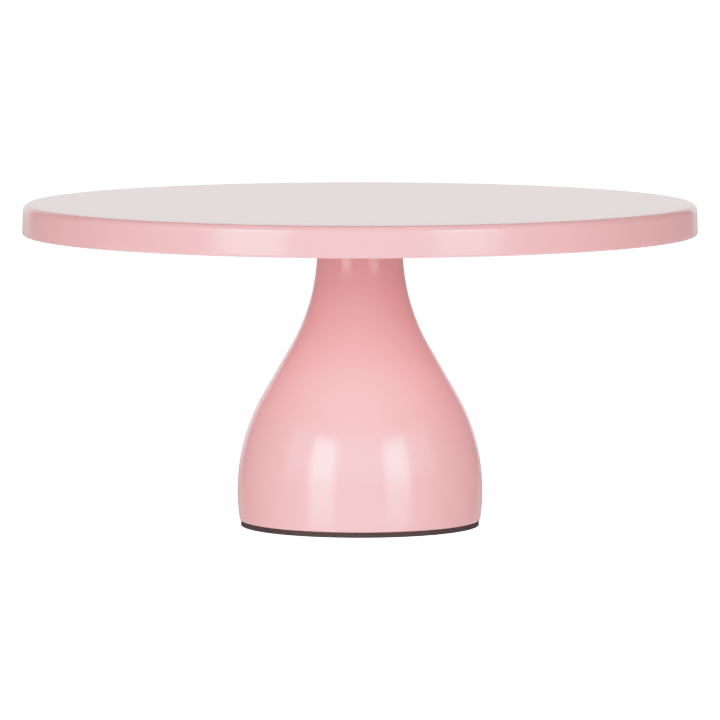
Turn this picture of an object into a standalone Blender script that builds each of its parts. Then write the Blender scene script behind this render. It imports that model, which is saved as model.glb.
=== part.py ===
"""Pedestal cake stand: a pressed steel plate that screws onto a hollow spun steel pedestal.

Frame: the origin is at the centre of the pad's underside, and +Z points up to the cake.
Sizes are in metres. Each piece is drawn from its own lowest plane and lifted into place by its location.
Pieces that touch on the real stand keep GAP between them.
"""

import math

import bmesh
import bpy
from mathutils import Matrix, Vector

# Overall sizes
STAND_HEIGHT = 0.146
PLATE_DIAMETER = 0.305
SHEET = 0.0012
GAP = 0.0003

# Plate: a flat disc whose rim turns down and is hemmed inwards at its lower edge
RIM_HEIGHT = 0.014
RIM_DRAFT = 0.0005
RIM_CORNER = 0.003
HEM_GAP = 0.0004
HEM_HEIGHT = 0.005

# Stiffener: a pressed hat under the plate's middle, whose hollow holds the bolt's head
HAT_HEIGHT = 0.0045
HAT_FLAT_RADIUS = 0.024
HAT_SLOPE_WIDTH = 0.005
HAT_FLANGE_RADIUS = 0.045
HAT_BEND = 0.0015

# Thread of the plate's bolt and the neck's nut: M10 coarse, right hand
THREAD_RADIUS = 0.0049
THREAD_PITCH = 0.0015
THREAD_DEPTH = 0.541 * THREAD_PITCH
THREAD_FLANK_ANGLE = math.radians(30)
THREAD_CLEARANCE = 0.00025
SQUARE_NECK = 0.0099
BOLT_HEAD_RADIUS = 0.011
BOLT_HEAD_HEIGHT = 0.0028
BOLT_REACH_PAST_NUT = 0.003

# Slip washer between the two painted parts
WASHER_THICKNESS = 0.001
WASHER_RADIUS = 0.0188
WASHER_HOLE_RADIUS = 0.0058

# Pedestal: straight neck, hollow arc, straight shoulder, full belly arc, small foot corner
NECK_RADIUS = 0.0195
NECK_ARC = 0.088
SHOULDER_SLOPE = math.radians(30)
BELLY_RADIUS = 0.0555
BELLY_ARC = 0.088
BELLY_HEIGHT = 0.016
FOOT_CORNER = 0.0014
LIP_RADIUS = 0.046

# Flat disc that closes the foot, and the neck's disc and nut
BASE_DISC_RADIUS = 0.053
NECK_DISC_THICKNESS = 0.003
NECK_DISC_HOLE = 0.0056
NUT_HEIGHT = 0.008
NUT_ACROSS_FLATS = 0.016
NUT_FLANGE_RADIUS = 0.012
NUT_FLANGE_HEIGHT = 0.002

# Pad under the foot
PAD_THICKNESS = 0.002
PAD_RADIUS = 0.0539
PAD_CHAMFER = 0.0003

# Heights of each piece's lowest plane, stacked down from the plate and up from the pad
PLATE_Z = STAND_HEIGHT - RIM_HEIGHT
STIFFENER_Z = STAND_HEIGHT - SHEET - GAP - HAT_HEIGHT
BOLT_HEAD_Z = STIFFENER_Z + SHEET + GAP
WASHER_Z = STIFFENER_Z - GAP - WASHER_THICKNESS
NECK_TOP = WASHER_Z - GAP
NECK_DISC_Z = NECK_TOP - NECK_DISC_THICKNESS
NUT_Z = NECK_DISC_Z - GAP - NUT_HEIGHT
BOLT_END_Z = NUT_Z - BOLT_REACH_PAST_NUT
SHELL_Z = PAD_THICKNESS + GAP
BASE_DISC_Z = SHELL_Z + SHEET + GAP

# Facets round each piece, and one step of a rounded corner
PLATE_FACETS = 72
PEDESTAL_FACETS = 56
SMALL_FACETS = 40
THREAD_FACETS = 24
CORNER_STEP = math.radians(24)


def clear_scene():
    for obj in list(bpy.data.objects):
        bpy.data.objects.remove(obj)


def make_material(name, colour, roughness, metallic):
    material = bpy.data.materials.new(name)
    material.use_nodes = True
    shader = material.node_tree.nodes["Principled BSDF"]
    shader.inputs["Base Color"].default_value = (*colour, 1.0)
    shader.inputs["Roughness"].default_value = roughness
    shader.inputs["Metallic"].default_value = metallic
    return material


def make_axis(name, height, parent=None):
    """An empty on the stand's axis. Everything that moves together hangs on one of these."""
    axis = bpy.data.objects.new(name, None)
    bpy.context.scene.collection.objects.link(axis)
    axis.empty_display_size = 0.02
    axis.location.z = height - (parent.location.z if parent else 0.0)
    axis.parent = parent
    return axis


def world_height(axis):
    return axis.location.z + (world_height(axis.parent) if axis.parent else 0.0)


def make_object(name, bm, material, axis, height):
    """Turns bm into a piece whose lowest plane is at this height, smooth except at its real edges."""
    bmesh.ops.recalc_face_normals(bm, faces=bm.faces)
    mesh = bpy.data.meshes.new(name)
    bm.to_mesh(mesh)
    bm.free()
    mesh.shade_smooth()
    mesh.set_sharp_from_angle(angle=math.radians(30))
    mesh.materials.append(material)
    obj = bpy.data.objects.new(name, mesh)
    bpy.context.scene.collection.objects.link(obj)
    obj.parent = axis
    obj.location.z = height - world_height(axis)
    return obj


def as_helper(obj):
    """Marks a shape that only cuts or joins another, so that it is no piece of the stand."""
    obj.hide_render = True
    obj.display_type = "WIRE"
    return obj


def combine(obj, helper, operation):
    modifier = obj.modifiers.new(f"{operation.lower()}_{helper.name}", "BOOLEAN")
    modifier.operation = operation
    modifier.solver = "EXACT"
    modifier.object = as_helper(helper)


def arc(centre, radius, start, end, steps):
    """Points (r, z) on a circle, with angles from the +r direction towards +z."""
    angles = [start + (end - start) * i / steps for i in range(steps + 1)]
    return [(centre[0] + radius * math.cos(a), centre[1] + radius * math.sin(a)) for a in angles]


def rounded(corners):
    """The (r, z) path through these (r, z, radius) corners, each turned as an arc of its radius."""
    path = []
    for i, (r, z, radius) in enumerate(corners):
        if not radius:
            path.append((r, z))
            continue
        here = Vector((r, z))
        back = (Vector(corners[i - 1][:2]) - here).normalized()
        ahead = (Vector(corners[i + 1][:2]) - here).normalized()
        half = back.angle(ahead) / 2
        start = here + back * radius / math.tan(half)
        centre = here + (back + ahead).normalized() * radius / math.sin(half)
        spoke = start - centre
        turn = (math.pi - 2 * half) * (1 if back.cross(ahead) < 0 else -1)
        steps = max(2, round(abs(turn) / CORNER_STEP))
        path += [tuple(centre + Matrix.Rotation(turn * k / steps, 2) @ spoke) for k in range(steps + 1)]
    return path


def turned(profile, facets):
    """A bmesh turned about the axis from a profile that starts and ends on it, or else closes."""
    bm = bmesh.new()
    verts = [bm.verts.new((r, 0.0, z)) for r, z in profile]
    edges = [bm.edges.new(pair) for pair in zip(verts, verts[1:])]
    if profile[0][0] > 0:
        edges.append(bm.edges.new((verts[-1], verts[0])))
    bmesh.ops.spin(
        bm, geom=verts + edges, axis=(0, 0, 1), cent=(0, 0, 0), angle=math.tau, steps=facets, use_merge=True
    )
    bmesh.ops.remove_doubles(bm, verts=bm.verts, dist=1e-6)
    return bm


def thread_rod(length, growth, end_radius):
    """A threaded rod from z = 0 up to length, its radii larger than the bolt's thread by growth.

    end_radius(radius, distance) gives the radius of a point at a distance from the nearer end.
    The rows of points follow the helix, and flat planes trim the two ends.
    """
    crest = THREAD_RADIUS + growth
    root = crest - THREAD_DEPTH
    # Heights here are in pitches: the crest's half width, and where a flank reaches the root.
    crest_edge = 1 / 16
    root_edge = crest_edge + THREAD_DEPTH * math.tan(THREAD_FLANK_ANGLE) / THREAD_PITCH
    section = [(-root_edge, root), (-crest_edge, crest), (crest_edge, crest), (root_edge, root)]
    turns = range(-2, math.ceil(length / THREAD_PITCH) + 2)
    bm = bmesh.new()
    columns = []
    for facet in range(THREAD_FACETS):
        share = facet / THREAD_FACETS
        column = []
        for turn in turns:
            for phase, radius in section:
                z = (turn + phase + share) * THREAD_PITCH
                nearer_end = min(z, length - z)
                r = end_radius(radius, nearer_end)
                x, y = r * math.cos(math.tau * share), r * math.sin(math.tau * share)
                column.append(bm.verts.new((x, y, z)))
        columns.append(column)
    for facet, column in enumerate(columns):
        # The last column meets the first one a whole turn further up.
        shift = len(section) if facet == THREAD_FACETS - 1 else 0
        following = columns[(facet + 1) % THREAD_FACETS][shift:]
        for low in range(len(following) - 1):
            bm.faces.new((column[low], following[low], following[low + 1], column[low + 1]))
    for height, outwards in ((0.0, -1), (length, 1)):
        everything = bm.verts[:] + bm.edges[:] + bm.faces[:]
        normal = (0, 0, outwards)
        bmesh.ops.bisect_plane(
            bm, geom=everything, dist=1e-7, plane_co=(0, 0, height), plane_no=normal, clear_outer=True
        )
    bmesh.ops.remove_doubles(bm, verts=bm.verts, dist=1e-6)
    open_edges = [edge for edge in bm.edges if edge.is_boundary]
    bmesh.ops.contextual_create(bm, geom=[e for e in open_edges if e.verts[0].co.z < length / 2])
    bmesh.ops.contextual_create(bm, geom=[e for e in open_edges if e.verts[0].co.z > length / 2])
    return bm


def thread_phase(height):
    """The turn about the axis that puts a rod starting at this height on the bolt's own helix."""
    return math.tau * (height - BOLT_END_Z) / THREAD_PITCH


def prism(sides, radius, height):
    bm = bmesh.new()
    bmesh.ops.create_cone(
        bm, cap_ends=True, segments=sides, radius1=radius, radius2=radius, depth=height,
        matrix=Matrix.Translation((0, 0, height / 2)),
    )
    return bm


# The plate and what is fixed to it


def make_plate(axis, material):
    radius = PLATE_DIAMETER / 2
    top_radius = radius - RIM_DRAFT
    hem_bend = SHEET + HEM_GAP / 2
    leg_radius = radius - 2 * hem_bend
    profile = rounded([
        (0, RIM_HEIGHT, 0),
        (top_radius, RIM_HEIGHT, RIM_CORNER),
        (radius, 0, hem_bend),
        (leg_radius, 0, hem_bend),
        (leg_radius, HEM_HEIGHT, 0),
        (leg_radius + SHEET, HEM_HEIGHT, 0),
        (leg_radius + SHEET, SHEET, HEM_GAP / 2),
        (radius - SHEET, SHEET, HEM_GAP / 2),
        (top_radius - SHEET, RIM_HEIGHT - SHEET, RIM_CORNER - SHEET),
        (0, RIM_HEIGHT - SHEET, 0),
    ])
    make_object("plate", turned(profile, PLATE_FACETS), material, axis, PLATE_Z)


def make_stiffener(axis, material):
    slope_end = HAT_FLAT_RADIUS + HAT_SLOPE_WIDTH
    profile = rounded([
        (0, SHEET, 0),
        (HAT_FLAT_RADIUS - SHEET / 2, SHEET, HAT_BEND),
        (slope_end - SHEET / 2, HAT_HEIGHT, HAT_BEND + SHEET),
        (HAT_FLANGE_RADIUS, HAT_HEIGHT, 0),
        (HAT_FLANGE_RADIUS, HAT_HEIGHT - SHEET, 0),
        (slope_end, HAT_HEIGHT - SHEET, HAT_BEND),
        (HAT_FLAT_RADIUS, 0, HAT_BEND + SHEET),
        (0, 0, 0),
    ])
    stiffener = make_object("stiffener", turned(profile, SMALL_FACETS), material, axis, STIFFENER_Z)
    square = prism(4, (SQUARE_NECK / 2 + GAP) * math.sqrt(2), 3 * SHEET)
    bmesh.ops.rotate(square, verts=square.verts, matrix=Matrix.Rotation(math.radians(45), 3, "Z"))
    cutter = make_object("square_hole", square, material, axis, STIFFENER_Z - SHEET)
    combine(stiffener, cutter, "DIFFERENCE")


def make_bolt(axis, material):
    """Square-neck bolt that hangs by its head in the stiffener's square hole."""
    overlap = SHEET / 2
    square_top = BOLT_HEAD_Z + overlap
    square_bottom = STIFFENER_Z + GAP / 3
    shank_length = square_bottom + overlap - BOLT_END_Z

    def bevelled_end(radius, distance):
        return min(radius, THREAD_RADIUS - THREAD_DEPTH + max(distance, 0.0))

    rod = thread_rod(shank_length, 0.0, bevelled_end)
    shank = make_object("plate_bolt", rod, material, axis, BOLT_END_Z)
    square = prism(4, SQUARE_NECK / 2 * math.sqrt(2), square_top - square_bottom)
    bmesh.ops.rotate(square, verts=square.verts, matrix=Matrix.Rotation(math.radians(45), 3, "Z"))
    combine(shank, make_object("bolt_square_neck", square, material, axis, square_bottom), "UNION")
    head = turned(
        rounded([
            (0, BOLT_HEAD_HEIGHT, 0),
            (BOLT_HEAD_RADIUS - BOLT_HEAD_HEIGHT, BOLT_HEAD_HEIGHT, BOLT_HEAD_HEIGHT),
            (BOLT_HEAD_RADIUS, BOLT_HEAD_HEIGHT / 3, 0),
            (BOLT_HEAD_RADIUS, 0, 0),
            (0, 0, 0),
        ]),
        SMALL_FACETS,
    )
    combine(shank, make_object("bolt_head", head, material, axis, BOLT_HEAD_Z), "UNION")


def make_slip_washer(axis, material):
    profile = [
        (WASHER_HOLE_RADIUS, WASHER_THICKNESS),
        (WASHER_RADIUS, WASHER_THICKNESS),
        (WASHER_RADIUS, 0),
        (WASHER_HOLE_RADIUS, 0),
    ]
    make_object("slip_washer", turned(profile, SMALL_FACETS), material, axis, WASHER_Z)


# The pedestal and what is fixed in it


def pedestal_side(depth):
    """The pedestal's side, from the neck's top to the foot's lip, this depth under the painted face."""
    top = NECK_TOP - SHELL_Z
    belly = (BELLY_RADIUS - BELLY_ARC, BELLY_HEIGHT - SHELL_Z)
    corner_rise = FOOT_CORNER - belly[1]
    corner_reach = math.sqrt((BELLY_ARC - FOOT_CORNER) ** 2 - corner_rise**2)
    corner = (belly[0] + corner_reach, FOOT_CORNER)
    corner_angle = math.atan2(corner_rise, corner_reach)
    # The shoulder is straight, so it fixes how far the neck's arc stands above the belly's.
    neck_r = NECK_RADIUS + NECK_ARC
    cos, sin = math.cos(SHOULDER_SLOPE), math.sin(SHOULDER_SLOPE)
    shoulder_top_r = neck_r - NECK_ARC * cos
    shoulder_bottom_r = belly[0] + BELLY_ARC * cos
    shoulder_rise = (shoulder_bottom_r - shoulder_top_r) / math.tan(SHOULDER_SLOPE)
    neck_z = belly[1] + BELLY_ARC * sin + shoulder_rise + NECK_ARC * sin
    side = [(NECK_RADIUS - depth, top)]
    side += arc((neck_r, neck_z), NECK_ARC + depth, math.pi, math.pi + SHOULDER_SLOPE, 6)
    side += arc(belly, BELLY_ARC - depth, SHOULDER_SLOPE, corner_angle, 9)
    side += arc(corner, FOOT_CORNER - depth, corner_angle, -math.pi / 2, 4)[1:]
    side.append((LIP_RADIUS, depth))
    return side


def make_pedestal_shell(axis, material):
    profile = pedestal_side(0.0) + pedestal_side(SHEET)[::-1]
    make_object("pedestal_shell", turned(profile, PEDESTAL_FACETS), material, axis, SHELL_Z)


def make_neck_disc(axis, material):
    edge = SHEET / 3
    outer = NECK_RADIUS - SHEET - GAP
    profile = [
        (NECK_DISC_HOLE, NECK_DISC_THICKNESS),
        (outer, NECK_DISC_THICKNESS),
        (outer, edge),
        (outer - edge, 0),
        (NECK_DISC_HOLE, 0),
    ]
    make_object("neck_disc", turned(profile, SMALL_FACETS), material, axis, NECK_DISC_Z)


def make_neck_nut(axis, material):
    """Hexagon nut with a welding flange against the neck disc, tapped right through."""
    hexagon = prism(6, NUT_ACROSS_FLATS / math.sqrt(3), NUT_HEIGHT - NUT_FLANGE_HEIGHT / 2)
    nut = make_object("neck_nut", hexagon, material, axis, NUT_Z)
    flange = prism(SMALL_FACETS, NUT_FLANGE_RADIUS, NUT_FLANGE_HEIGHT)
    flange_z = NUT_Z + NUT_HEIGHT - NUT_FLANGE_HEIGHT
    combine(nut, make_object("nut_flange", flange, material, axis, flange_z), "UNION")
    overrun = THREAD_PITCH / 2
    tap_start = NUT_Z - overrun

    def countersunk_end(radius, distance):
        return max(radius, THREAD_RADIUS + 2 * THREAD_CLEARANCE + overrun - max(distance, 0.0))

    tap = thread_rod(NUT_HEIGHT + 2 * overrun, THREAD_CLEARANCE, countersunk_end)
    bmesh.ops.rotate(tap, verts=tap.verts, matrix=Matrix.Rotation(thread_phase(tap_start), 3, "Z"))
    combine(nut, make_object("nut_tap", tap, material, axis, tap_start), "DIFFERENCE")


def make_base_disc(axis, material):
    edge = SHEET / 4
    profile = rounded([
        (0, SHEET, 0),
        (BASE_DISC_RADIUS, SHEET, edge),
        (BASE_DISC_RADIUS, 0, edge),
        (0, 0, 0),
    ])
    make_object("base_disc", turned(profile, PEDESTAL_FACETS), material, axis, BASE_DISC_Z)


def make_base_pad(axis, material):
    profile = [
        (0, PAD_THICKNESS),
        (PAD_RADIUS, PAD_THICKNESS),
        (PAD_RADIUS, PAD_CHAMFER),
        (PAD_RADIUS - PAD_CHAMFER, 0),
        (0, 0),
    ]
    make_object("base_pad", turned(profile, PEDESTAL_FACETS), material, axis, 0.0)


def main():
    clear_scene()
    pink_paint = make_material("pink_paint", (0.91, 0.50, 0.51), 0.12, 0.0)
    zinc = make_material("zinc_plate", (0.62, 0.62, 0.60), 0.35, 1.0)
    nylon = make_material("nylon", (0.80, 0.79, 0.75), 0.45, 0.0)
    foam = make_material("pad_rubber", (0.07, 0.045, 0.045), 0.75, 0.0)

    pedestal_axis = make_axis("pedestal_axis", 0.0)
    turn_axis = make_axis("turn_axis", NECK_TOP, pedestal_axis)
    plate_axis = make_axis("plate_axis", STIFFENER_Z, turn_axis)

    make_plate(plate_axis, pink_paint)
    make_stiffener(plate_axis, pink_paint)
    make_bolt(plate_axis, zinc)
    make_slip_washer(turn_axis, nylon)
    make_pedestal_shell(pedestal_axis, pink_paint)
    make_neck_disc(pedestal_axis, pink_paint)
    make_neck_nut(pedestal_axis, zinc)
    make_base_disc(pedestal_axis, zinc)
    make_base_pad(pedestal_axis, foam)


main()
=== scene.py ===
"""Looks of the pedestal cake stand: fine turned and pressed pieces, their finishes, light and camera."""
import math

import bmesh
import bpy
from mathutils import Matrix, Vector


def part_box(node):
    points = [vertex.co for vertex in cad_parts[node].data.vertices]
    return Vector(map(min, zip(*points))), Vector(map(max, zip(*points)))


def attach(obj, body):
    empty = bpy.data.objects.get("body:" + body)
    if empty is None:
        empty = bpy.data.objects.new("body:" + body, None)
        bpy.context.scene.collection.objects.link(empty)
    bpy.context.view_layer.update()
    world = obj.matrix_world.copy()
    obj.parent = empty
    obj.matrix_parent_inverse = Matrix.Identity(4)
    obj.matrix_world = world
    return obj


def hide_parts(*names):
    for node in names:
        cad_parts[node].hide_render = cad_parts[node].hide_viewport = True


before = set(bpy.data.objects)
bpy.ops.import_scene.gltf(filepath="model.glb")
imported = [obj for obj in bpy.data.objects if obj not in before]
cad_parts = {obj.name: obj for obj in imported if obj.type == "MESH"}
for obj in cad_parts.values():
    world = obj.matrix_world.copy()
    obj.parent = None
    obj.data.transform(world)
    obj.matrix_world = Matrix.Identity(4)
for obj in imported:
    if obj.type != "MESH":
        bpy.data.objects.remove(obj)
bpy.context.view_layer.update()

# Sizes, in metres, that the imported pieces' boxes don't give: the sheet steel, and the gap between welded
# neighbours, which the fine pieces close
SHEET = 0.0012
WELD_GAP = 0.0003

# The plate
RIM_DRAFT = 0.0005
RIM_CORNER = 0.003
HEM_SLOT = 0.0004
HEM_HEIGHT = 0.005

# The stiffener. The last number is the share of a dimple's radius over which it deepens.
HAT_HOLE_RADIUS = 0.005544
HAT_FLAT_RADIUS = 0.024
HAT_SLOPE_WIDTH = 0.005
HAT_BEND = 0.0015
SPOT_WELDS = 8
SPOT_WELD_RING = 0.0375
SPOT_WELD_RADIUS = 0.0024
SPOT_WELD_DEPTH = 0.00025
SPOT_WELD_WALL = 0.4

# The bolt, with the share of its head's height that is dome
BOLT_RADIUS = 0.0049
THREAD_PITCH = 0.0015
THREAD_DEPTH = 0.00081
THREAD_CREST_WIDTH = THREAD_PITCH / 8
THREAD_FLANK = math.radians(30)
SQUARE_NECK = 0.0099
DOME_SHARE = 0.74

# The pedestal
NECK_ARC = 0.088
SHOULDER_SLOPE = math.radians(30)
BELLY_ARC = 0.088
BELLY_HEIGHT = 0.016
FOOT_CORNER = 0.0014
LIP_RADIUS = 0.046

# Washer, discs, nut and pad, with the roundings of their edges
BORE_RADIUS = 0.0056
WASHER_EDGE = 0.00035
NECK_DISC_EDGE = 0.0004
BASE_DISC_EDGE = 0.0003
NUT_ACROSS_FLATS = 0.016
NUT_FLANGE_HEIGHT = 0.002
NUT_FLANGE_EDGE = 0.0003
THREAD_CLEARANCE = 0.00025
PAD_EDGE = 0.00035

# Fineness of the turned meshes: the angle between points on an arc, the facets round the axis, and the
# longest straight stretch of a profile. An edge sharper than SHARP_ANGLE is shaded sharp.
ARC_STEP = math.radians(5)
LONG_ARC_STEP = math.radians(1.5)
PAD_ARC_STEP = math.radians(15)
DOME_STEPS = 14
PLATE_FACETS = 360
PEDESTAL_FACETS = 256
SMALL_FACETS = 128
THREAD_FACETS = 72
PLATE_STRETCH = 0.012
STIFFENER_STRETCH = 0.0005
PEDESTAL_STRETCH = 0.003
BASE_DISC_STRETCH = 0.004
PAD_STRETCH = 0.0008
SHARP_ANGLE = math.radians(35)
ON_AXIS = 1e-7

# Camera: where it stands, what height on the axis it looks at, and its lens
CAMERA_DISTANCE = 3.237
CAMERA_HEIGHT = 0.3605
CAMERA_TARGET_HEIGHT = 0.07487
CAMERA_LENS = 359.63
CAMERA_SENSOR = 36.0
CAMERA_REACH = 200.0

# Light. Each glow of the studio is an azimuth band, an elevation band and a radiance, all in white light.
# Azimuths count from the camera's side, positive to its right, or from behind the stand. A band is where
# it starts, reaches full strength, starts to fade and ends, all in degrees.
AMBIENT = 0.28
ALL_ROUND = (-999, -998, 998, 999)
GLOWS = [
    # The table's white top, all round, and its stretch behind the stand
    ("front", ALL_ROUND, (-99, -98, -44, -36), 1.04),
    ("behind", (-44, -30, 30, 44), (-44, -34, -6, 0), 0.26),
    # The white backdrop, and a cloth overhead
    ("behind", (-31, -25, 20, 25), (-6, 0, 6, 40), 0.69),
    ("front", ALL_ROUND, (60, 76, 98, 99), 0.18),
    # A white board round the camera
    ("front", (-82, -74, 74, 82), (4, 12, 26, 34), 1.04),
    # Two softboxes that light the front, and the hot middle of each
    ("front", (-53, -45, -29, -21), (-32, -6, 24, 34), 2.95),
    ("front", (21, 29, 44, 52), (-32, -6, 24, 34), 2.0),
    ("front", (-53, -45, -29, -21), (-2, 13, 22, 34), 2.7),
    ("front", (21, 29, 44, 52), (-2, 13, 22, 34), 2.9),
]
FLOOR_SIZE = 60.0
FLOOR_GAP = 0.0003
FLOOR_GLOW = 1.7
FLOOR_ALBEDO = 0.4

# Picture: the radiance that shows as pure white, and the camera's tone curve, from radiance to brightness,
# which bends over softly so that a bright pink pales
WHITE = 1.6
TONE_CURVE = [
    (0, 0), (0.16, 0.16), (0.32, 0.32), (0.48, 0.48), (0.64, 0.64),
    (0.8, 0.76), (0.96, 0.85), (1.12, 0.91), (1.36, 0.97), (WHITE, 1),
]


# Profiles and meshes


def arc(centre, radius, start, end, step=ARC_STEP):
    """Points (r, z) on a circle, with angles from the +r direction towards +z."""
    steps = max(2, math.ceil(abs(end - start) / step))
    angles = [start + (end - start) * i / steps for i in range(steps + 1)]
    return [(centre[0] + radius * math.cos(a), centre[1] + radius * math.sin(a)) for a in angles]


def rounded(corners):
    """The (r, z) path through these (r, z, radius) corners, each turned as an arc of its radius."""
    path = []
    for i, (r, z, radius) in enumerate(corners):
        if not radius:
            path.append((r, z))
            continue
        here = Vector((r, z))
        back = (Vector(corners[i - 1][:2]) - here).normalized()
        ahead = (Vector(corners[(i + 1) % len(corners)][:2]) - here).normalized()
        half = back.angle(ahead) / 2
        start = here + back * radius / math.tan(half)
        centre = here + (back + ahead).normalized() * radius / math.sin(half)
        spoke = start - centre
        turn = (math.pi - 2 * half) * (1 if back.cross(ahead) < 0 else -1)
        steps = max(3, math.ceil(abs(turn) / ARC_STEP))
        path += [tuple(centre + Matrix.Rotation(turn * k / steps, 2) @ spoke) for k in range(steps + 1)]
    return path


def filled_in(path, longest):
    """The same path with extra points on its straight stretches, so that none is longer than this."""
    dense = [path[0]]
    for start, end in zip(path, path[1:]):
        steps = max(1, math.ceil(math.dist(start, end) / longest))
        for k in range(1, steps + 1):
            dense.append(tuple(a + (b - a) * k / steps for a, b in zip(start, end)))
    return dense


def turned(profile, facets):
    """A bmesh turned about the axis from a profile that starts and ends on it, or else closes."""
    bm = bmesh.new()
    angles = [math.tau * k / facets for k in range(facets)]
    rings = []
    for r, z in profile:
        if r < ON_AXIS:
            rings.append([bm.verts.new((0, 0, z))] * facets)
        else:
            rings.append([bm.verts.new((r * math.cos(a), r * math.sin(a), z)) for a in angles])
    pairs = list(zip(rings, rings[1:]))
    if profile[0][0] >= ON_AXIS:
        pairs.append((rings[-1], rings[0]))
    for ring, following in pairs:
        for k in range(facets):
            after = (k + 1) % facets
            corners = dict.fromkeys((ring[k], following[k], following[after], ring[after]))
            if len(corners) > 2:
                bm.faces.new(list(corners))
    return bm


def shade(mesh):
    """Smooth shading, broken at the sharp edges."""
    mesh.shade_smooth()
    mesh.set_sharp_from_angle(angle=SHARP_ANGLE)


def object_from(name, bm):
    """An object in the scene with bm's mesh, its faces pointing out."""
    bmesh.ops.recalc_face_normals(bm, faces=bm.faces)
    mesh = bpy.data.meshes.new(name)
    bm.to_mesh(mesh)
    bm.free()
    made = bpy.data.objects.new(name, mesh)
    bpy.context.scene.collection.objects.link(made)
    return made


def make_piece(name, bm, material, body, replaces=()):
    """Turns bm into a piece that rides on a body and stands for CAD nodes."""
    piece = object_from(name, bm)
    shade(piece.data)
    piece.data.materials.append(material)
    if replaces:
        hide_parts(*replaces)
    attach(piece, body)
    return piece


def apply_boolean(piece, bm, operation):
    """Joins bm's shape to a piece, or cuts it out, and leaves a plain mesh."""
    helper = object_from("helper", bm)
    modifier = piece.modifiers.new("shape", "BOOLEAN")
    modifier.operation, modifier.solver, modifier.object = operation, "EXACT", helper
    with bpy.context.temp_override(object=piece, active_object=piece):
        bpy.ops.object.modifier_apply(modifier=modifier.name)
    bpy.data.objects.remove(helper)
    shade(piece.data)


# Finishes


class Tree:
    """A short way to add nodes to a tree and to feed their inputs, from sockets or with plain values."""

    def __init__(self, tree):
        self.tree = tree

    def add(self, kind, inputs=None, **settings):
        node = self.tree.nodes.new(kind)
        for key, value in settings.items():
            setattr(node, key, value)
        self.feed(node, inputs or {})
        return node

    def feed(self, node, inputs):
        for key, value in inputs.items():
            if isinstance(value, bpy.types.NodeSocket):
                self.tree.links.new(value, node.inputs[key])
            else:
                node.inputs[key].default_value = value


class Finish(Tree):
    """One material, with procedural patterns round its Principled shader."""

    def __init__(self, name):
        self.material = bpy.data.materials.new(name)
        self.material.use_nodes = True
        super().__init__(self.material.node_tree)
        self.shader = self.tree.nodes["Principled BSDF"]
        self.coordinates = self.add("ShaderNodeTexCoord").outputs["Object"]

    def noise(self, scale, detail, roughness=0.5, stretch=None):
        vector = self.coordinates
        if stretch:
            vector = self.add("ShaderNodeMapping", {"Vector": vector, "Scale": stretch}).outputs["Vector"]
        inputs = {"Vector": vector, "Scale": scale, "Detail": detail, "Roughness": roughness}
        return self.add("ShaderNodeTexNoise", inputs).outputs["Fac"]

    def ranged(self, noise, low, high):
        """The middle of a noise's range, stretched to run from low to high."""
        inputs = {"Value": noise, "From Min": 0.3, "From Max": 0.7, "To Min": low, "To Max": high}
        return self.add("ShaderNodeMapRange", inputs).outputs["Result"]

    def blend(self, noise, first, second):
        """The colour that runs from first to second as the noise rises."""
        inputs = {"Factor": self.ranged(noise, 0.0, 1.0), "A": (*first, 1.0), "B": (*second, 1.0)}
        return self.add("ShaderNodeMix", inputs, data_type="RGBA").outputs["Result"]

    def bump(self, height, distance, under=None):
        inputs = {"Height": height, "Distance": distance}
        if under:
            inputs["Normal"] = under
        return self.add("ShaderNodeBump", inputs).outputs["Normal"]


def pink_powder_coat():
    """Glossy powder coat: a faint orange peel, tiny specks of gloss change and a trace of cloudiness."""
    coat = Finish("pink_powder_coat")
    cloud = coat.noise(9.0, detail=3.0)
    speck = coat.noise(2600.0, detail=1.0)
    peel = coat.noise(520.0, detail=2.0, roughness=0.45)
    wave = coat.noise(60.0, detail=1.0)
    coat.feed(coat.shader, {
        "Base Color": coat.blend(cloud, (0.934, 0.492, 0.503), (0.948, 0.504, 0.515)),
        "Roughness": coat.ranged(speck, 0.11, 0.13),
        "IOR": 1.5,
        "Normal": coat.bump(peel, 0.00003, under=coat.bump(wave, 0.00004)),
    })
    return coat.material


def zinc_plate():
    """Zinc-plated steel with faint turning marks round the axis and a cloudy sheen."""
    zinc = Finish("zinc_plate")
    cloud = zinc.noise(180.0, detail=4.0)
    marks = zinc.noise(1500.0, detail=2.0, stretch=(0.15, 0.15, 6.0))
    zinc.feed(zinc.shader, {
        "Base Color": zinc.blend(cloud, (0.56, 0.57, 0.57), (0.70, 0.70, 0.68)),
        "Metallic": 1.0,
        "Roughness": zinc.ranged(cloud, 0.28, 0.42),
        "Normal": zinc.bump(marks, 0.00001),
    })
    return zinc.material


def natural_nylon():
    """Off-white nylon: a little light goes through it, and its surface is grained."""
    nylon = Finish("natural_nylon")
    cloud = nylon.noise(150.0, detail=3.0)
    grain = nylon.noise(1800.0, detail=2.0)
    nylon.feed(nylon.shader, {
        "Base Color": nylon.blend(cloud, (0.74, 0.72, 0.66), (0.82, 0.80, 0.75)),
        "Roughness": nylon.ranged(cloud, 0.38, 0.5),
        "Normal": nylon.bump(grain, 0.00002),
        "Subsurface Weight": 0.15,
        "Subsurface Scale": 0.002,
    })
    return nylon.material


def pad_foam():
    """Dark closed-cell foam rubber: small cells and dusty lighter patches."""
    foam = Finish("pad_foam")
    voronoi = foam.add("ShaderNodeTexVoronoi", {"Vector": foam.coordinates, "Scale": 1400.0})
    dust = foam.noise(120.0, detail=5.0, roughness=0.65)
    foam.feed(foam.shader, {
        "Base Color": foam.blend(dust, (0.044, 0.024, 0.024), (0.080, 0.047, 0.045)),
        "Roughness": foam.ranged(dust, 0.62, 0.85),
        "Normal": foam.bump(voronoi.outputs["Distance"], 0.00012),
    })
    return foam.material


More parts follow.
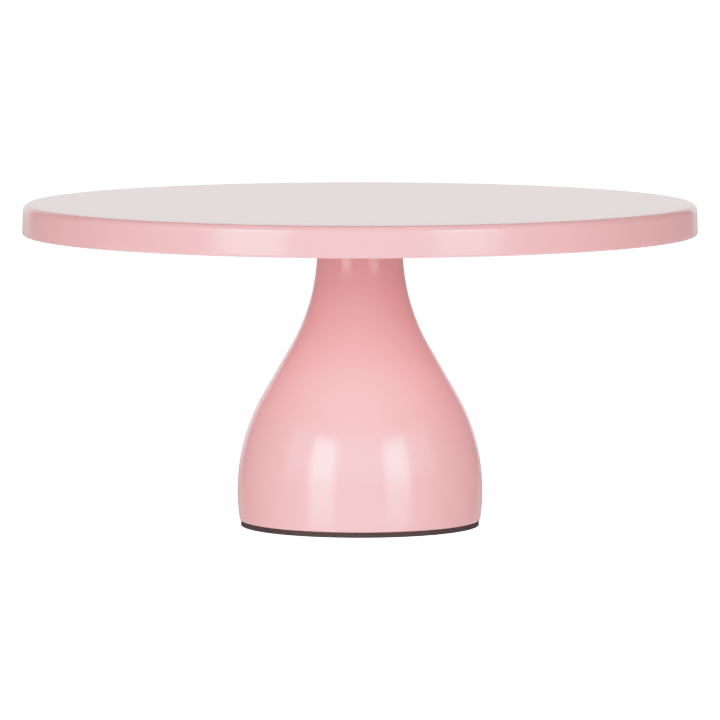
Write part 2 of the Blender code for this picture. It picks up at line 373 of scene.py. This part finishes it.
def pale_floor():
    """A matt, glowing white that can be looked through from below."""
    paint = Finish("pale_floor")
    paint.feed(paint.shader, {
        "Base Color": (FLOOR_ALBEDO, FLOOR_ALBEDO, FLOOR_ALBEDO, 1),
        "Roughness": 1.0,
        "Specular IOR Level": 0.0,
        "Emission Color": (1, 1, 1, 1),
        "Emission Strength": FLOOR_GLOW,
    })
    below = paint.add("ShaderNodeNewGeometry").outputs["Backfacing"]
    clear = paint.add("ShaderNodeBsdfTransparent").outputs["BSDF"]
    sides = paint.add("ShaderNodeMixShader", {"Fac": below, 1: paint.shader.outputs["BSDF"], 2: clear})
    paint.feed(paint.tree.nodes["Material Output"], {"Surface": sides.outputs["Shader"]})
    return paint.material


# Pieces of the top


def make_plate(material):
    """The pressed plate: a flat top, a drawn corner, and a rim that is folded back inside as a hem."""
    low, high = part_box("plate")
    radius, height = high.x, high.z - low.z
    top_radius = radius - RIM_DRAFT
    hem_bend = SHEET + HEM_SLOT / 2
    leg_radius = radius - 2 * hem_bend
    profile = rounded([
        (0, height, 0),
        (top_radius, height, RIM_CORNER),
        (radius, 0, hem_bend),
        (leg_radius, 0, hem_bend),
        (leg_radius, HEM_HEIGHT, SHEET / 3),
        (leg_radius + SHEET, HEM_HEIGHT, SHEET / 3),
        (leg_radius + SHEET, SHEET, HEM_SLOT / 2),
        (radius - SHEET, SHEET, HEM_SLOT / 2),
        (top_radius - SHEET, height - SHEET, RIM_CORNER - SHEET),
        (0, height - SHEET, 0),
    ])
    bm = turned(filled_in(profile, PLATE_STRETCH), PLATE_FACETS)
    bmesh.ops.translate(bm, verts=bm.verts, vec=(0, 0, low.z))
    make_piece("pressed_plate", bm, material, "top", ["plate"])


def dimple(verts):
    """Presses the spot welds into these points of a flat sheet, from below."""
    for vert in verts:
        turn = math.atan2(vert.co.y, vert.co.x) / math.tau
        angle = round(turn * SPOT_WELDS) * math.tau / SPOT_WELDS
        weld = Vector((math.cos(angle), math.sin(angle))) * SPOT_WELD_RING
        reach = (vert.co.xy - weld).length / SPOT_WELD_RADIUS
        if reach < 1:
            vert.co.z += SPOT_WELD_DEPTH * min(1.0, (1 - reach) / SPOT_WELD_WALL)


def make_stiffener(material):
    """The pressed hat, drawn up against the plate, with the dimples of its spot welds."""
    low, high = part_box("stiffener")
    flange_radius = high.x
    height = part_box("plate")[1].z - SHEET - low.z
    slope_end = HAT_FLAT_RADIUS + HAT_SLOPE_WIDTH
    profile = rounded([
        (HAT_HOLE_RADIUS, SHEET, 0),
        (HAT_FLAT_RADIUS - SHEET / 2, SHEET, HAT_BEND),
        (slope_end - SHEET / 2, height, HAT_BEND + SHEET),
        (flange_radius, height, SHEET / 6),
        (flange_radius, height - SHEET, SHEET / 4),
        (slope_end, height - SHEET, HAT_BEND),
        (HAT_FLAT_RADIUS, 0, HAT_BEND + SHEET),
        (HAT_HOLE_RADIUS, 0, 0),
    ])
    bm = turned(filled_in(profile, STIFFENER_STRETCH), PLATE_FACETS)
    flange_underside = height - SHEET
    dimple([vert for vert in bm.verts if abs(vert.co.z - flange_underside) < 0.05 * SHEET])
    bmesh.ops.translate(bm, verts=bm.verts, vec=(0, 0, low.z))
    make_piece("pressed_stiffener", bm, material, "top", ["stiffener"])


def make_slip_washer(material):
    """The washer fills the space between the neck and the stiffener."""
    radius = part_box("slip_washer")[1].x
    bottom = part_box("pedestal_shell")[1].z
    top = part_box("stiffener")[0].z
    profile = rounded([
        (BORE_RADIUS, top, WASHER_EDGE),
        (radius, top, WASHER_EDGE),
        (radius, bottom, WASHER_EDGE),
        (BORE_RADIUS, bottom, WASHER_EDGE),
    ])
    bm = turned(profile, SMALL_FACETS)
    make_piece("soft_washer", bm, material, "washer", ["slip_washer"])


def thread_section(crest, root):
    """One pitch of thread, as points of (share of the pitch from its middle, radius)."""
    crest_edge = THREAD_CREST_WIDTH / 2 / THREAD_PITCH
    root_edge = crest_edge + (crest - root) * math.tan(THREAD_FLANK) / THREAD_PITCH
    flank_middle = (root_edge + crest_edge) / 2
    rising = [(-root_edge, root), (-flank_middle, (root + crest) / 2), (-crest_edge, crest)]
    return rising + [(-share, radius) for share, radius in reversed(rising)]


def cut_off(bm, height, outwards):
    """Removes what lies past a level plane: above it if outwards is 1, below it if it is -1."""
    bmesh.ops.bisect_plane(
        bm, geom=bm.verts[:] + bm.edges[:] + bm.faces[:], dist=1e-7,
        plane_co=(0, 0, height), plane_no=(0, 0, outwards), clear_outer=True,
    )


def cap_ends(bm, middle):
    """Closes a tube's open ends, one below the middle and one above it."""
    open_edges = [edge for edge in bm.edges if edge.is_boundary]
    bmesh.ops.contextual_create(bm, geom=[e for e in open_edges if e.verts[0].co.z < middle])
    bmesh.ops.contextual_create(bm, geom=[e for e in open_edges if e.verts[0].co.z > middle])


def threaded_rod(bottom, top, crest, start_height, end_shape):
    """A bmesh of a rod with a right-hand thread, whose crest passes start_height on the +X side.

    end_shape turns a radius and its distance from the nearer end into the radius there.
    """
    section = thread_section(crest, crest - THREAD_DEPTH)
    first = math.floor((bottom - start_height) / THREAD_PITCH) - 2
    last = math.ceil((top - start_height) / THREAD_PITCH) + 2
    bm = bmesh.new()
    columns = []
    for facet in range(THREAD_FACETS):
        share = facet / THREAD_FACETS
        angle = math.tau * share
        column = []
        for turn in range(first, last):
            for phase, radius in section:
                z = start_height + (turn + phase + share) * THREAD_PITCH
                r = end_shape(radius, min(z - bottom, top - z))
                column.append(bm.verts.new((r * math.cos(angle), r * math.sin(angle), z)))
        columns.append(column)
    for facet, column in enumerate(columns):
        shift = len(section) if facet == THREAD_FACETS - 1 else 0
        following = columns[(facet + 1) % THREAD_FACETS][shift:]
        for i in range(len(following) - 1):
            bm.faces.new((column[i], following[i], following[i + 1], column[i + 1]))
    cut_off(bm, bottom, -1)
    cut_off(bm, top, 1)
    bmesh.ops.remove_doubles(bm, verts=bm.verts, dist=1e-6)
    cap_ends(bm, (bottom + top) / 2)
    return bm


def make_bolt_shank(material):
    """The captive bolt's threaded shank, bevelled at its end, and its square neck."""
    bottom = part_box("plate_bolt")[0].z
    neck_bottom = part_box("stiffener")[0].z
    root = BOLT_RADIUS - THREAD_DEPTH

    def bevelled(radius, distance):
        return min(radius, root + max(distance, 0.0))

    bm = threaded_rod(bottom, neck_bottom, BOLT_RADIUS, bottom, bevelled)
    place = Matrix.Translation((0, 0, neck_bottom + SHEET / 2))
    size = Matrix.Diagonal((SQUARE_NECK, SQUARE_NECK, SHEET, 1))
    bmesh.ops.create_cube(bm, size=1.0, matrix=place @ size)
    make_piece("bolt_shank", bm, material, "top", ["plate_bolt"])


def make_bolt_head(material):
    """The bolt's low dome head, which rests on the stiffener."""
    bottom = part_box("stiffener")[0].z + SHEET
    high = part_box("plate_bolt")[1]
    radius, height = high.x, high.z - bottom
    rise = height * DOME_SHARE
    sphere = (radius**2 + rise**2) / (2 * rise)
    radii = [radius * k / DOME_STEPS for k in range(DOME_STEPS + 1)]
    dome = [(r, height - sphere + math.sqrt(sphere**2 - r**2)) for r in radii]
    bm = turned(dome + [(radius, 0), (0, 0)], SMALL_FACETS)
    bmesh.ops.translate(bm, verts=bm.verts, vec=(0, 0, bottom))
    make_piece("bolt_head", bm, material, "top")


# Pieces of the pedestal


def pedestal_side(depth):
    """The pedestal's side, from the neck's top to the foot's lip, this depth under the painted face."""
    low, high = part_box("pedestal_shell")
    neck_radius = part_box("neck_disc")[1].x + SHEET + WELD_GAP
    belly = (high.x - BELLY_ARC, BELLY_HEIGHT)
    corner_z = low.z + FOOT_CORNER
    corner_r = belly[0] + math.sqrt((BELLY_ARC - FOOT_CORNER) ** 2 - (corner_z - belly[1]) ** 2)
    corner_angle = math.atan2(corner_z - belly[1], corner_r - belly[0])
    neck_r = neck_radius + NECK_ARC
    cos, sin = math.cos(SHOULDER_SLOPE), math.sin(SHOULDER_SLOPE)
    shoulder_width = belly[0] + BELLY_ARC * cos - (neck_r - NECK_ARC * cos)
    neck_z = belly[1] + (BELLY_ARC + NECK_ARC) * sin + shoulder_width / math.tan(SHOULDER_SLOPE)
    side = [(neck_radius - depth, high.z)]
    side += arc((neck_r, neck_z), NECK_ARC + depth, math.pi, math.pi + SHOULDER_SLOPE, LONG_ARC_STEP)
    side += arc(belly, BELLY_ARC - depth, SHOULDER_SLOPE, corner_angle, LONG_ARC_STEP)
    side += arc((corner_r, corner_z), FOOT_CORNER - depth, corner_angle, -math.pi / 2)[1:]
    side.append((LIP_RADIUS, low.z + depth))
    return filled_in(side, PEDESTAL_STRETCH)


def make_pedestal_shell(material):
    """The spun shell, open at its neck and foot."""
    profile = pedestal_side(0.0) + pedestal_side(SHEET)[::-1]
    bm = turned(profile, PEDESTAL_FACETS)
    make_piece("spun_pedestal", bm, material, "pedestal", ["pedestal_shell"])


def make_neck_disc(material):
    """The disc that closes the neck, out to the shell it is welded to."""
    low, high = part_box("neck_disc")
    radius = high.x + WELD_GAP
    profile = rounded([
        (BORE_RADIUS, high.z, NECK_DISC_EDGE),
        (radius, high.z, 0),
        (radius, low.z, NECK_DISC_EDGE),
        (BORE_RADIUS, low.z, NECK_DISC_EDGE),
    ])
    bm = turned(profile, SMALL_FACETS)
    make_piece("welded_neck_disc", bm, material, "pedestal", ["neck_disc"])


def hexagon_prism(bottom, top, across_flats):
    bm = bmesh.new()
    corner = across_flats / math.sqrt(3)
    place = Matrix.Translation((0, 0, (bottom + top) / 2))
    bmesh.ops.create_cone(
        bm, cap_ends=True, segments=6, radius1=corner, radius2=corner, depth=top - bottom, matrix=place
    )
    return bm


def make_neck_nut(material):
    """A flanged hexagon nut, countersunk, with its thread on the bolt's own helix."""
    low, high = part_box("neck_nut")
    flange_bottom = high.z - NUT_FLANGE_HEIGHT
    flange = turned(
        rounded([
            (0, high.z, 0),
            (high.x, high.z, NUT_FLANGE_EDGE),
            (high.x, flange_bottom, NUT_FLANGE_EDGE),
            (0, flange_bottom, 0),
        ]),
        SMALL_FACETS,
    )
    crest = BOLT_RADIUS + THREAD_CLEARANCE
    overrun = THREAD_PITCH / 2

    def countersunk(radius, distance):
        return max(radius, crest + overrun - max(distance, 0.0))

    start_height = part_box("plate_bolt")[0].z
    tap = threaded_rod(low.z - overrun, high.z + overrun, crest, start_height, countersunk)
    hexagon = hexagon_prism(low.z, high.z - NUT_FLANGE_HEIGHT / 2, NUT_ACROSS_FLATS)
    nut = make_piece("weld_nut", hexagon, material, "pedestal", ["neck_nut"])
    apply_boolean(nut, flange, "UNION")
    apply_boolean(nut, tap, "DIFFERENCE")


def make_base_disc(material):
    """The disc that closes the foot and carries the pad."""
    low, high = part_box("base_disc")
    profile = rounded([
        (0, high.z, 0),
        (high.x, high.z, BASE_DISC_EDGE),
        (high.x, low.z, BASE_DISC_EDGE),
        (0, low.z, 0),
    ])
    bm = turned(filled_in(profile, BASE_DISC_STRETCH), PEDESTAL_FACETS)
    make_piece("foot_disc", bm, material, "pedestal", ["base_disc"])


def make_base_pad(material):
    """The foam pad, pressed against the foot, with a soft die-cut edge."""
    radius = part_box("base_pad")[1].x - PAD_EDGE
    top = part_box("pedestal_shell")[0].z
    upper = arc((radius, top - PAD_EDGE), PAD_EDGE, math.pi / 2, 0, PAD_ARC_STEP)
    lower = arc((radius, PAD_EDGE), PAD_EDGE, 0, -math.pi / 2, PAD_ARC_STEP)
    profile = [(0, top)] + upper + lower + [(0, 0)]
    bm = turned(filled_in(profile, PAD_STRETCH), PEDESTAL_FACETS)
    make_piece("foam_pad", bm, material, "pedestal", ["base_pad"])


# Stage, light and camera


def make_floor():
    """A white floor that the stand neither reflects nor is lit by, because the studio's light does that."""
    bm = bmesh.new()
    bmesh.ops.create_grid(bm, x_segments=1, y_segments=1, size=FLOOR_SIZE / 2)
    bmesh.ops.translate(bm, verts=bm.verts, vec=(0, 0, -FLOOR_GAP))
    floor = object_from("floor", bm)
    floor.visible_diffuse = False
    floor.visible_glossy = False
    floor.data.materials.append(pale_floor())


class Sky(Tree):
    """The studio's light, as sums and products of smooth bands of direction."""

    def __init__(self):
        world = bpy.data.worlds.new("studio")
        bpy.context.scene.world = world
        world.use_nodes = True
        super().__init__(world.node_tree)
        direction = self.add("ShaderNodeTexCoord").outputs["Generated"]
        x, y, z = self.add("ShaderNodeSeparateXYZ", {0: direction}).outputs
        degrees = 180 / math.pi
        self.elevation = self.math("MULTIPLY", self.math("ARCSINE", z), degrees)
        toward_front = self.math("MULTIPLY", y, -1.0)
        self.azimuth = {
            "front": self.math("MULTIPLY", self.math("ARCTAN2", x, toward_front), degrees),
            "behind": self.math("MULTIPLY", self.math("ARCTAN2", x, y), degrees),
        }

    def math(self, operation, *values):
        return self.add("ShaderNodeMath", dict(enumerate(values)), operation=operation).outputs[0]

    def step(self, value, start, end, low, high):
        """Runs smoothly from low to high as the value goes from start to end."""
        inputs = {"Value": value, "From Min": start, "From Max": end, "To Min": low, "To Max": high}
        return self.add("ShaderNodeMapRange", inputs, interpolation_type="SMOOTHSTEP").outputs["Result"]

    def band(self, value, limits):
        start, full, fading, end = limits
        rise = self.step(value, start, full, 0, 1)
        fall = self.step(value, fading, end, 1, 0)
        return self.math("MULTIPLY", rise, fall)


def make_light():
    """Lights the stand with the glows. Seen directly, past the floor's edge or from below, the studio is
    plain white."""
    sky = Sky()
    total = AMBIENT
    for side, azimuths, elevations, radiance in GLOWS:
        across = sky.band(sky.azimuth[side], azimuths)
        up = sky.band(sky.elevation, elevations)
        total = sky.math("MULTIPLY_ADD", sky.math("MULTIPLY", across, up), radiance, total)
    seen = sky.add("ShaderNodeLightPath").outputs["Is Camera Ray"]
    light = sky.math("MULTIPLY", total, sky.math("SUBTRACT", 1.0, seen))
    strength = sky.math("MULTIPLY_ADD", seen, WHITE, light)
    sky.feed(sky.tree.nodes["Background"], {"Color": (1, 1, 1, 1), "Strength": strength})


def make_camera():
    data = bpy.data.cameras.new("camera")
    data.lens = CAMERA_LENS
    data.sensor_width = CAMERA_SENSOR
    data.clip_end = CAMERA_REACH
    camera = bpy.data.objects.new("camera", data)
    bpy.context.scene.collection.objects.link(camera)
    camera.location = (0, -CAMERA_DISTANCE, CAMERA_HEIGHT)
    aim = Vector((0, 0, CAMERA_TARGET_HEIGHT)) - camera.location
    camera.rotation_euler = aim.to_track_quat("-Z", "Y").to_euler()
    bpy.context.scene.camera = camera


def set_tone_curve():
    """Sets the curve's inner points. Its ends are at black and white already."""
    view = bpy.context.scene.view_settings
    view.view_transform = "Standard"
    view.use_curve_mapping = True
    mapping = view.curve_mapping
    mapping.white_level = (WHITE, WHITE, WHITE)
    combined = mapping.curves[3]
    for radiance, brightness in TONE_CURVE[1:-1]:
        combined.points.new(radiance / WHITE, brightness)
    mapping.update()


def main():
    pink = pink_powder_coat()
    zinc = zinc_plate()
    nylon = natural_nylon()
    foam = pad_foam()
    make_plate(pink)
    make_stiffener(pink)
    make_slip_washer(nylon)
    make_bolt_shank(zinc)
    make_bolt_head(zinc)
    make_pedestal_shell(pink)
    make_neck_disc(pink)
    make_neck_nut(zinc)
    make_base_disc(zinc)
    make_base_pad(foam)
    make_floor()
    make_light()
    make_camera()
    set_tone_curve()


main()
